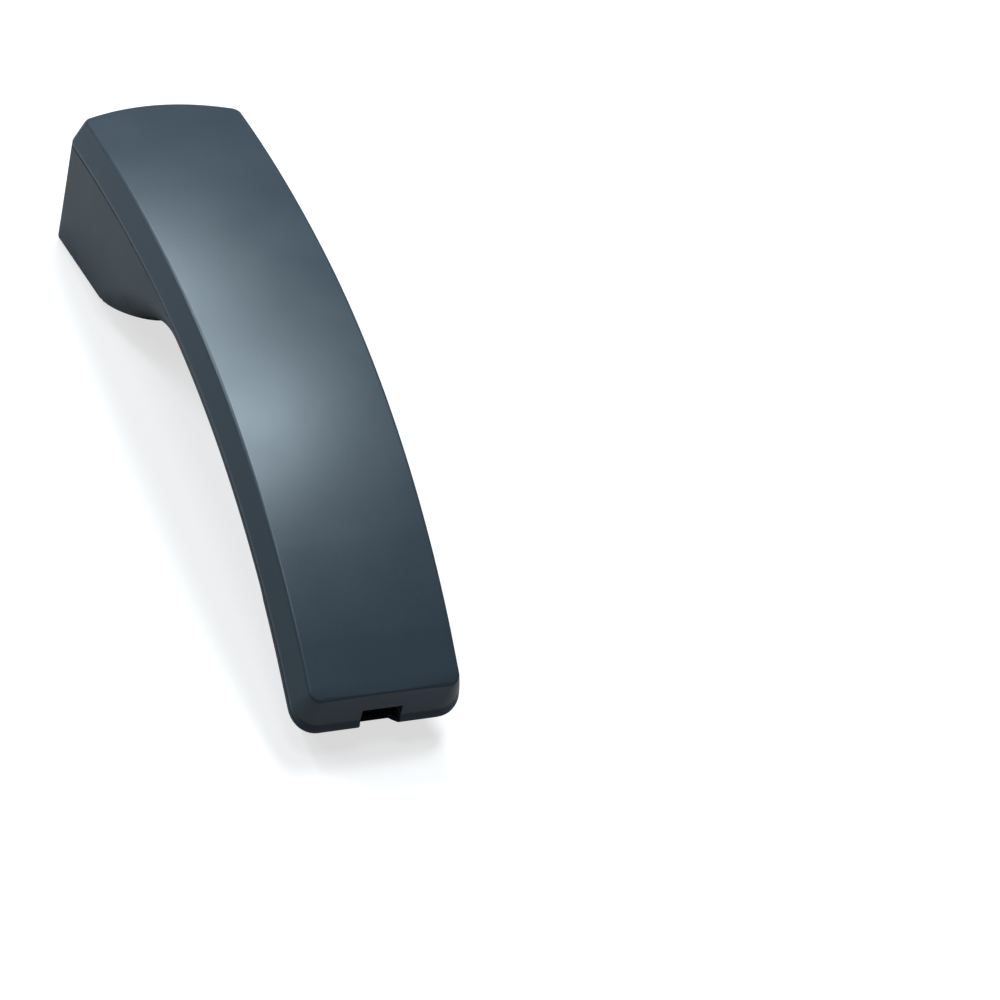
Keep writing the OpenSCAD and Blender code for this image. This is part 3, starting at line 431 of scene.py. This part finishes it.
def loft(name, loops, first_lid, last_lid):
    """A closed mesh through the loops, each a function of a border place."""
    points = [f(q) for f in loops for q in BORDER]
    first_inside = len(points)
    points += [first_lid(q) for q in INSIDE]
    last_inside = len(points)
    points += [last_lid(q) for q in INSIDE]
    size = len(BORDER)
    faces = []
    for level in range(len(loops) - 1):
        for j in range(size):
            a = level * size + j
            b = level * size + (j + 1) % size
            faces.append((a, a + size, b + size, b))
    faces += lid(0, first_inside)
    faces += [face[::-1] for face in lid((len(loops) - 1) * size, last_inside)]
    mesh = bpy.data.meshes.new(name)
    mesh.from_pydata([arch_point(p) for p in points], [], faces)
    return outward(mesh)


def outward(mesh):
    """Turns every face of a closed mesh so that its volume is positive."""
    mesh.calc_loop_triangles()
    total = 0
    for t in mesh.loop_triangles:
        a, b, c = (mesh.vertices[v].co for v in t.vertices)
        total += a.dot(b.cross(c))
    if total < 0:
        mesh.flip_normals()
    return mesh


def block(low, high, place):
    """A closed box between two corners, along the axes of place."""
    outline = [(low[0], low[1]), (high[0], low[1]), (high[0], high[1]), (low[0], high[1])]
    return stacked([[place @ Vector((x, y, z)) for x, y in outline] for z in (low[2], high[2])])


def turned(profile, place, sides=64):
    """A closed mesh turned round the Z axis of place from a profile of radii and heights."""
    turns = [2 * math.pi * j / sides for j in range(sides)]
    return stacked([
        [place @ Vector((r * math.cos(a), r * math.sin(a), z)) for a in turns] for r, z in profile
    ])


def merged(meshes):
    """One mesh from several that don't touch."""
    points = []
    faces = []
    for mesh in meshes:
        first = len(points)
        points += [v.co.copy() for v in mesh.vertices]
        faces += [[first + v for v in p.vertices] for p in mesh.polygons]
    both = bpy.data.meshes.new("merged")
    both.from_pydata(points, [], faces)
    return both


def cut(mesh, tools):
    """The mesh with the tools, which don't touch each other, cut from it."""
    target = bpy.data.objects.new("target", mesh)
    tool = bpy.data.objects.new("tool", merged(tools))
    for o in (target, tool):
        bpy.context.scene.collection.objects.link(o)
    modifier = target.modifiers.new("cut", "BOOLEAN")
    modifier.solver = "EXACT"
    modifier.operation = "DIFFERENCE"
    modifier.object = tool
    depsgraph = bpy.context.evaluated_depsgraph_get()
    out = bpy.data.meshes.new_from_object(target.evaluated_get(depsgraph))
    for o in (target, tool):
        bpy.data.objects.remove(o)
    return out


def flared(radius, low, high, edge, place, sides=64):
    """A round cutter whose mouth at height low widens in a fillet of size edge."""
    profile = [(radius + edge, low - CUTTER_END), (radius + edge, low - CUTTER_STEP)]
    for j in range(5):
        b = math.pi / 8 * j
        profile.append((radius + edge * (1 - math.sin(b)), low + edge * (1 - math.cos(b))))
    return turned(profile + [(radius, high)], place, sides)


def arc_points(centre, radius, turns):
    """Points of a circle at the angles in turns."""
    return [(centre[0] + radius * math.cos(a), centre[1] + radius * math.sin(a)) for a in turns]


def arc_slot(radius, width, middle, angle, low, high, edge, place):
    """A cutter for a curved slot with round ends and a rounded mouth."""
    first, last = middle - angle / 2, middle + angle / 2
    turns = [first + angle * j / SLOT_STEPS for j in range(SLOT_STEPS + 1)]
    end_turns = [math.pi * j / SLOT_END_STEPS for j in range(1, SLOT_END_STEPS)]
    first_end, last_end = arc_points((0, 0), radius, (first, last))

    def outline(grow):
        w = width / 2 + grow
        return (
            arc_points((0, 0), radius + w, turns)
            + arc_points(last_end, w, [last + a for a in end_turns])
            + arc_points((0, 0), radius - w, turns[::-1])
            + arc_points(first_end, w, [first + math.pi + a for a in end_turns])
        )

    levels = [(low - 1, edge)]
    for j in range(4):
        b = math.pi / 6 * j
        levels.append((low + edge * (1 - math.cos(b)), edge * (1 - math.sin(b))))
    levels.append((high, 0))
    return stacked([[place @ Vector((x, y, z)) for x, y in outline(grow)] for z, grow in levels])


def stacked(outlines):
    """A closed mesh through outlines of the same number of points."""
    count = len(outlines[0])
    points = [p for o in outlines for p in o]
    faces = [list(range(count))[::-1], list(range(len(points) - count, len(points)))]
    for level in range(len(outlines) - 1):
        for j in range(count):
            a = level * count + j
            b = level * count + (j + 1) % count
            faces.append((a, b, b + count, a + count))
    mesh = bpy.data.meshes.new("stacked")
    mesh.from_pydata(points, [], faces)
    return outward(mesh)


# The two shells, drawn as in part.scad with rounded edges
def back_loop(n):
    return lambda q: back_point(q, n, back_out(n))


def lip_loop(b):
    """The lip's rounded bottom edge, from its side at b = 0 to its underside at a right angle."""
    n = PART_N - PART_GAP - LIP_EDGE_R * (1 - math.sin(b))
    inset = LIP_EDGE_R * (1 - math.cos(b))
    return lambda q: back_point(q, n, [out - inset for out in back_out(n)], inset)


def part_loop(inset, n):
    return lambda q: part_point(q, inset, n, TONGUE_IN)


def back_loft():
    groove = WALL / 2 - TONGUE_CLEAR
    bottom = PART_N - PART_GAP
    edge = [CROWN_EDGE_R * (1 - math.cos(math.radians(11 * j))) for j in range(8)]
    loops = [back_loop(n) for n in edge + SIDE_LEVELS + CREASE_LEVELS]
    loops += [lip_loop(math.radians(30 * j)) for j in range(4)]
    loops += [
        part_loop(groove, bottom),
        part_loop(groove, TONGUE_N - PART_GAP),
        part_loop(WALL, TONGUE_N - PART_GAP),
        top_inside,
    ]
    return loft("back", loops, back_loop(0), top_inside)


def top_inside(q):
    return back_point(q, WALL, (-0.8 * WALL, -0.8 * WALL, -WALL))


def under_loop(r, t=0):
    return lambda q: front_under(q, r, t)


def side_loop(a, t=0):
    top = PART_N + (LIP_EDGE_R if t == 0 else 0)
    return lambda q: front_side(q, a, t, top)


def top_edge_loop(b):
    """The front shell's rounded top edge, from its side at b = 0 to its top."""
    n = PART_N + LIP_EDGE_R * (1 - math.sin(b))
    inset = LIP_EDGE_R * (1 - math.cos(b))
    return lambda q: part_point(q, inset, n)


def front_loft():
    loops = [under_loop(math.sin(math.radians(9 * j))) for j in range(10)]
    loops += [side_loop(1 - j / 6) for j in range(7)]
    loops += [top_edge_loop(math.radians(30 * j)) for j in range(1, 4)]
    loops += [
        part_loop(WALL / 2, PART_N),
        part_loop(WALL / 2, TONGUE_N),
        part_loop(WALL, TONGUE_N),
        part_loop(WALL, PART_N + 0.5),
        side_loop(0.5, WALL),
        side_loop(1, WALL),
        under_loop(0.7, WALL),
        under_loop(0.35, WALL),
        under_loop(0, WALL),
    ]
    return loft("front", loops, under_loop(0), under_loop(0, WALL))


def frame_at(s, n=0):
    """Frame on the arch: +Z out through the crown, +Y towards the ear end."""
    y, z = side_point(s, n)
    return REST @ Matrix.Translation((0, y, z)) @ Matrix.Rotation(-arch_at(s)[0], 4, "X")


EAR_MID = (EAR_FACE_LEN - EAR_END_BULGE / 3) / 2
ON_EAR_FACE = (
    REST
    @ Matrix.Translation((0, EAR_LOW[0], EAR_LOW[1]))
    @ Matrix.Rotation(-EAR_FACE_ANGLE, 4, "X")
    @ Matrix.Translation((0, -EAR_MID, 0))
)
ON_MIC_FACE = frame_at(MIC_MID, MIC_DEPTH)

# The jack and the notch in front of it
JACK_W, JACK_LEN, JACK_H = 11.2, 14, 10
JACK_FRONT = -2.5
JACK_DROP = 0.4
NOTCH_W = 11.5
NOTCH_TOP = 4.1
SEAT_CLEAR = 0.05
JACK_BOTTOM = NOTCH_TOP + JACK_DROP + JACK_H
ON_JACK = frame_at(-MIC_REACH, JACK_BOTTOM) @ Matrix.Translation((0, JACK_FRONT, 0))


def notch():
    """The cutters for the notch in front of the jack and for the jack's own place."""
    half = JACK_W / 2 + SEAT_CLEAR
    return (
        block(
            (-NOTCH_W / 2, -20, -JACK_BOTTOM - SEAT_CLEAR),
            (NOTCH_W / 2, JACK_FRONT - SEAT_CLEAR, -NOTCH_TOP),
            frame_at(-MIC_REACH),
        ),
        block((-half, -1, 0), (half, JACK_LEN / 2, JACK_H + SEAT_CLEAR), ON_JACK),
    )


# Openings in the front shell
DISH_R, DISH_FLOOR_R, DISH_DEPTH = 20, 12, 2.4
DISH_EDGE_R, DISH_BEND_R = 0.5, 4
SLOT_RING_R, SLOT_W, SLOT_ANGLE, SLOT_COUNT = 7.5, 1.8, math.radians(36), 6
CENTRE_HOLE_R = 1.2
HOLE_EDGE_R, MIC_HOLE_EDGE_R, DIMPLE_EDGE_R = 0.25, 0.2, 0.3
CLOTH_POCKET_R, CLOTH_Z = 11.1, 4.1
RECEIVER_SEAT_R, RECEIVER_SEAT_Z, RECEIVER_SEAT_TOP = 16.65, 4.5, 14.1
DIMPLE_R, DIMPLE_DEPTH = 5.5, 0.8
MIC_HOLE_R, MIC_HOLE_PITCH = 0.75, 3
BOOT_POCKET_R, BOOT_Z = 6.2, 1.8
FELT_POCKET_R, FELT_Z = 4.85, 1.3
WELL_R, WELL_EDGE_R = 2.9, 0.3
SCREW_PLACES = (16, -50)
HEAD_N = 13.4

# How far the cutter of a sound opening runs on into the pocket behind it
OVERLAP = 0.2


def dish():
    """The dish's cutter, with its rim rounded and its floor running into the cone."""
    slope = math.atan2(DISH_DEPTH, DISH_R - DISH_FLOOR_R)
    rim = DISH_EDGE_R * math.tan(slope / 2)
    profile = [(DISH_R + rim, -1)]
    for j in range(5):
        b = slope * j / 4
        profile.append((
            DISH_R + rim - DISH_EDGE_R * math.sin(b), DISH_EDGE_R * (1 - math.cos(b))
        ))
    run = DISH_BEND_R * math.tan(slope / 2)
    for j in range(5):
        b = slope * (1 - j / 4)
        profile.append((
            DISH_FLOOR_R - run + DISH_BEND_R * math.sin(b),
            DISH_DEPTH - DISH_BEND_R * (1 - math.cos(b)),
        ))
    return turned(profile, ON_EAR_FACE, 96)


def ear_openings():
    """The cutters for the sound slots and the hole in their middle."""
    top = CLOTH_Z + OVERLAP
    slots = [
        arc_slot(
            SLOT_RING_R, SLOT_W, math.radians((j + 0.5) * 360 / SLOT_COUNT), SLOT_ANGLE,
            DISH_DEPTH, top, HOLE_EDGE_R, ON_EAR_FACE,
        )
        for j in range(SLOT_COUNT)
    ]
    return slots + [flared(CENTRE_HOLE_R, DISH_DEPTH, top, HOLE_EDGE_R, ON_EAR_FACE, 32)]


def barrel(radius, low, high, place, sides=64):
    return turned([(radius, low), (radius, high)], place, sides)


def plug_n(s):
    """Depth of the middle of the underside, where a plug closes a screw well."""
    return under_n(s, 0, 0)


def front_cuts():
    """Groups of cutters; the cutters of one group don't touch each other."""
    notch_front, jack_place = notch()
    seat = barrel(RECEIVER_SEAT_R, RECEIVER_SEAT_Z, RECEIVER_SEAT_TOP, ON_EAR_FACE, 96)
    cloth = barrel(CLOTH_POCKET_R, CLOTH_Z, RECEIVER_SEAT_Z + 1, ON_EAR_FACE, 72)
    dimple = flared(DIMPLE_R, 0, DIMPLE_DEPTH, DIMPLE_EDGE_R, ON_MIC_FACE)
    boot = barrel(BOOT_POCKET_R, BOOT_Z, BOOT_Z + 4, ON_MIC_FACE)
    felt = barrel(FELT_POCKET_R, FELT_Z, BOOT_Z + 1, ON_MIC_FACE, 48)
    x, y, z = GROUND_CUTTER
    below_ground = block((-x, -y, -z), (x, y, 0), Matrix())
    holes = []
    top = FELT_Z + OVERLAP
    for j in (-1, 0, 1):
        place = ON_MIC_FACE @ Matrix.Translation((j * MIC_HOLE_PITCH, 0, 0))
        holes.append(flared(MIC_HOLE_R, DIMPLE_DEPTH, top, MIC_HOLE_EDGE_R, place, 32))
    wells = [
        flared(WELL_R, 0, plug_n(s) - HEAD_N, WELL_EDGE_R, frame_at(s, plug_n(s)), 48)
        for s in SCREW_PLACES
    ]
    return [
        [notch_front, dish(), seat],
        [jack_place, cloth],
        ear_openings(),
        [dimple, boot],
        holes + [felt],
        wells,
        [below_ground],
    ]


def shell(name, node, slot, mesh, groups):
    """Cuts a loft, scales it to metres, shades it and puts it in the node's stead."""
    for group in groups:
        mesh = cut(mesh, group)
    mesh.transform(Matrix.Scale(MM, 4))
    mesh.materials.clear()
    mesh.materials.append(slots[slot])
    mesh.shade_smooth()
    mesh.set_sharp_from_angle(angle=SHARP_ANGLE)
    piece = bpy.data.objects.new(name, mesh)
    bpy.context.scene.collection.objects.link(piece)
    weighted = piece.modifiers.new("weighted_normals", "WEIGHTED_NORMAL")
    weighted.keep_sharp = True
    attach(piece, "root")
    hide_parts(node)


# Materials: noise and weave in object space, in metres
class Graph:
    """A material's nodes and the ways in which they are joined here."""

    def __init__(self, name):
        self.material = bpy.data.materials.new(name)
        self.material.use_nodes = True
        self.nodes = self.material.node_tree.nodes
        self.links = self.material.node_tree.links
        self.shader = self.nodes["Principled BSDF"]
        self.place = self.nodes.new("ShaderNodeTexCoord").outputs["Object"]

    def noise(self, scale, detail=2, roughness=0.5):
        node = self.nodes.new("ShaderNodeTexNoise")
        node.inputs["Scale"].default_value = scale
        node.inputs["Detail"].default_value = detail
        node.inputs["Roughness"].default_value = roughness
        self.links.new(self.place, node.inputs["Vector"])
        return node.outputs["Fac"]

    def wave(self, scale, direction):
        node = self.nodes.new("ShaderNodeTexWave")
        node.bands_direction = direction
        node.inputs["Scale"].default_value = scale
        node.inputs["Distortion"].default_value = 0.4
        self.links.new(self.place, node.inputs["Vector"])
        return node.outputs["Fac"]

    def product(self, a, b):
        node = self.nodes.new("ShaderNodeMath")
        node.operation = "MULTIPLY"
        self.links.new(a, node.inputs[0])
        self.links.new(b, node.inputs[1])
        return node.outputs[0]

    def spread(self, fac, low, high, socket):
        """Maps the noise around its middle to a range of numbers."""
        node = self.nodes.new("ShaderNodeMapRange")
        node.inputs["From Min"].default_value = 0.3
        node.inputs["From Max"].default_value = 0.7
        node.inputs["To Min"].default_value = low
        node.inputs["To Max"].default_value = high
        self.links.new(fac, node.inputs["Value"])
        self.links.new(node.outputs["Result"], self.shader.inputs[socket])

    def tint(self, fac, colour, change):
        """Varies the colour's brightness by a share on both sides."""
        node = self.nodes.new("ShaderNodeValToRGB")
        low, high = node.color_ramp.elements
        low.position, high.position = 0.3, 0.7
        low.color = [c * (1 - change) for c in colour] + [1]
        high.color = [c * (1 + change) for c in colour] + [1]
        self.links.new(fac, node.inputs["Fac"])
        self.links.new(node.outputs["Color"], self.shader.inputs["Base Color"])

    def bump(self, fac, height):
        node = self.nodes.new("ShaderNodeBump")
        node.inputs["Strength"].default_value = 1
        node.inputs["Distance"].default_value = height
        self.links.new(fac, node.inputs["Height"])
        self.links.new(node.outputs["Normal"], self.shader.inputs["Normal"])

    def set(self, **values):
        for name, value in values.items():
            self.shader.inputs[name.replace("_", " ")].default_value = value


def moulded(name, colour, roughness, grain=1800, height=0.000012, change=0.05, specular=0.5):
    """Moulded plastic or rubber with an even grain."""
    g = Graph(name)
    fine = g.noise(grain, 2, 0.6)
    g.tint(fine, colour, change)
    g.spread(g.noise(60, 3), roughness * 0.93, roughness * 1.07, "Roughness")
    g.bump(fine, height)
    g.set(Specular_IOR_Level=specular, Specular_Tint=(0.84, 0.94, 1, 1))
    return g.material


def metal(name, colour, roughness, streaks=900, height=0.000004):
    """Metal with fine uneven streaks."""
    g = Graph(name)
    streak = g.product(g.noise(streaks, 4, 0.7), g.noise(streaks / 12, 2))
    g.tint(streak, colour, 0.08)
    g.spread(g.noise(400, 3), roughness * 0.8, roughness * 1.25, "Roughness")
    g.bump(streak, height)
    g.set(Metallic=1)
    return g.material


def woven(name, colour, pitch):
    """Cloth woven with threads a pitch apart."""
    g = Graph(name)
    weave = g.product(g.wave(1 / pitch, "X"), g.wave(1 / pitch, "Y"))
    g.tint(weave, colour, 0.5)
    g.spread(g.noise(300), 0.8, 0.95, "Roughness")
    g.bump(weave, pitch / 5)
    g.set(Sheen_Weight=0.3)
    return g.material


CROWN = (0.031, 0.045, 0.059)
BODY = (0.014, 0.024, 0.034)
slots = {
    "crown_plastic": moulded("crown_plastic", CROWN, 0.34, 1400, 0.00001),
    "body_plastic": moulded("body_plastic", BODY, 0.38, 1400, 0.00001),
    "acoustic_cloth": woven("acoustic_cloth", (0.02, 0.02, 0.022), 0.0006),
    "foam": moulded("foam", (0.03, 0.03, 0.032), 0.92, 2500, 0.00008, 0.4, 0.2),
    "black_plastic": moulded("black_plastic", (0.03, 0.031, 0.034), 0.45),
    "diaphragm_film": moulded("diaphragm_film", (0.6, 0.57, 0.48), 0.35, 500, 0.000004, 0.03),
    "copper_wire": metal("copper_wire", (0.72, 0.34, 0.15), 0.3, 4000, 0.00002),
    "plated_steel": metal("plated_steel", (0.6, 0.61, 0.62), 0.32),
    "magnet": metal("magnet", (0.08, 0.085, 0.09), 0.45, 1500, 0.00001),
    "board": moulded("board", (0.03, 0.14, 0.06), 0.35, 700, 0.000006, 0.15),
    "black_rubber": moulded("black_rubber", (0.015, 0.015, 0.016), 0.7, 900, 0.00001, 0.1, 0.3),
    "capsule_can": metal("capsule_can", (0.6, 0.61, 0.63), 0.28, 700),
    "jack_plastic": moulded("jack_plastic", (0.012, 0.014, 0.016), 0.3, 700, 0.000004),
    "gold_contact": metal("gold_contact", (0.85, 0.62, 0.25), 0.22, 600),
    "ballast_steel": metal("ballast_steel", (0.35, 0.36, 0.37), 0.5, 500, 0.00002),
    "wire_insulation": moulded("wire_insulation", (0.4, 0.12, 0.08), 0.4, 900, 0.000006),
}
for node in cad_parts.values():
    for place in node.material_slots:
        base = place.material.name.split(".")[0]
        place.material = slots.get(base, slots["black_plastic"])

back_cuts = [[cutter] for cutter in notch()]
shell("handset_back", "back_shell", "crown_plastic", back_loft(), back_cuts)
shell("handset_front", "front_shell", "body_plastic", front_loft(), front_cuts())

# Floor
FLOOR_REACH = 4
FLOOR_WHITE = 0.68
floor_mesh = bpy.data.meshes.new("floor")
floor_mesh.from_pydata(
    [(x * FLOOR_REACH, y * FLOOR_REACH, 0) for x, y in ((-1, -1), (1, -1), (1, 1), (-1, 1))],
    [],
    [(0, 1, 2, 3)],
)
floor = bpy.data.objects.new("floor", floor_mesh)
bpy.context.scene.collection.objects.link(floor)
floor_look = Graph("floor_white")
floor_look.tint(floor_look.noise(3, 1), (0.4, 0.4, 0.405), 0.004)
floor_look.set(Roughness=0.9, Specular_IOR_Level=0.1)
floor_mesh.materials.append(floor_look.material)


def whitened(look, strength):
    """Adds white to what the camera sees of a surface, on top of its light and shadow."""
    rays = look.nodes.new("ShaderNodeLightPath")
    part = look.nodes.new("ShaderNodeMath")
    part.operation = "MULTIPLY"
    part.inputs[1].default_value = strength
    white = look.nodes.new("ShaderNodeEmission")
    both = look.nodes.new("ShaderNodeAddShader")
    look.links.new(rays.outputs["Is Camera Ray"], part.inputs[0])
    look.links.new(part.outputs[0], white.inputs["Strength"])
    look.links.new(look.shader.outputs["BSDF"], both.inputs[0])
    look.links.new(white.outputs["Emission"], both.inputs[1])
    look.links.new(both.outputs["Shader"], look.nodes["Material Output"].inputs["Surface"])


whitened(floor_look, FLOOR_WHITE)

# Light
LIGHT_COLOUR = (0.88, 0.96, 1)
LIGHT_DISTANCE = 1.2
LIT_POINT = Vector((0, 0, 0.025))
WORLD_STRENGTH = 0.02


def soft_light(name, direction, size, power):
    """An area light shining on the handset from a direction."""
    data = bpy.data.lights.new(name, "AREA")
    data.shape = "RECTANGLE"
    data.size, data.size_y = size
    data.energy = power
    data.color = LIGHT_COLOUR
    lamp = bpy.data.objects.new(name, data)
    bpy.context.scene.collection.objects.link(lamp)
    to = Vector(direction).normalized()
    lamp.location = LIT_POINT + to * LIGHT_DISTANCE
    lamp.rotation_euler = (-to).to_track_quat("-Z", "Y").to_euler()


soft_light("crown_glow", (0.25, 0.33, 0.9), (0.3, 0.3), 4.8)
soft_light("crown_glow_left", (0.13, 0.22, 0.96), (0.3, 0.3), 5.6)
soft_light("ear_glow", (0.15, 0.65, 0.75), (0.35, 0.35), 6.4)
soft_light("mouthpiece_glow", (-0.26, -0.1, 0.95), (0.3, 0.3), 2.6)
soft_light("side", (-0.8, 0.6, 0.6), (0.5, 0.2), 3.2)
soft_light("crown_edge", (-0.51, 0.48, 0.69), (0.25, 0.05), 4)

world = bpy.data.worlds.new("studio")
bpy.context.scene.world = world
world.use_nodes = True
nodes = world.node_tree.nodes
links = world.node_tree.links
rays = nodes.new("ShaderNodeLightPath")
seen = nodes.new("ShaderNodeBackground")
seen.inputs["Color"].default_value = (1, 1, 1, 1)
seen.inputs["Strength"].default_value = 1
light = nodes["Background"]
light.inputs["Color"].default_value = (0.95, 0.98, 1, 1)
light.inputs["Strength"].default_value = WORLD_STRENGTH
choice = nodes.new("ShaderNodeMixShader")
links.new(rays.outputs["Is Camera Ray"], choice.inputs["Fac"])
links.new(light.outputs["Background"], choice.inputs[1])
links.new(seen.outputs["Background"], choice.inputs[2])
links.new(choice.outputs["Shader"], nodes["World Output"].inputs["Surface"])

# Camera
camera_data = bpy.data.cameras.new("camera")
camera_data.sensor_width = 36
camera_data.lens = CAMERA_LENS
camera = bpy.data.objects.new("camera", camera_data)
bpy.context.scene.collection.objects.link(camera)
axes = Matrix((CAMERA_RIGHT, -CAMERA_DOWN, -CAMERA_FORWARD)).transposed().to_4x4()
placed = REST @ Matrix.Translation(CAMERA_AT) @ axes
placed.translation *= MM
camera.matrix_world = placed
bpy.context.scene.camera = camera
bpy.context.scene.view_settings.view_transform = "Standard"
